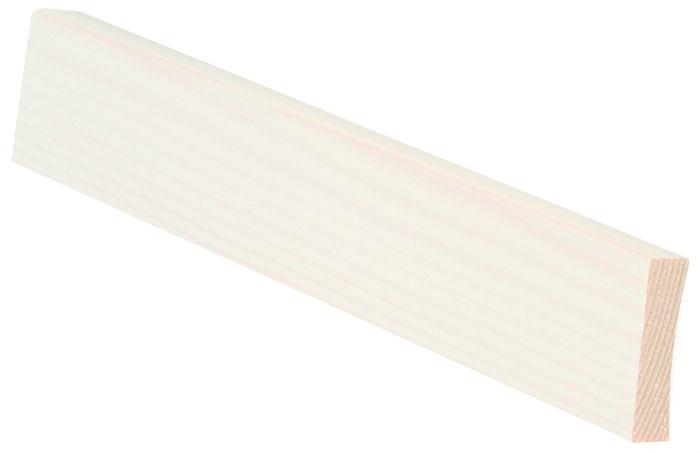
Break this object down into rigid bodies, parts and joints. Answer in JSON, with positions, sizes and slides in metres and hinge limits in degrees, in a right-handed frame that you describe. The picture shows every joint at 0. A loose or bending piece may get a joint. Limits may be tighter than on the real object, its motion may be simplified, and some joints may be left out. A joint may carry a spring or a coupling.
{
  "type": "architrave",
  "caption": "Short length of hollow-backed softwood architrave with one rounded edge, white-glazed on its face and edges, with bare sawn ends.",
  "frame": {"origin": "middle of the length and of the width, on the floor under the hollow back", "axes": "+X along the board to its square sawn end, +Y across the width to the rounded edge, +Z from the back to the glazed face"},
  "size_m": [0.3999, 0.058, 0.0149],
  "materials": {
    "glazed_pine": "thin white glaze over planed pine, with its grain showing through, and bare wood on the back and the sawn ends"
  },
  "bodies": {
    "root": {"architrave": "glazed_pine"}
  },
  "joints": []
}
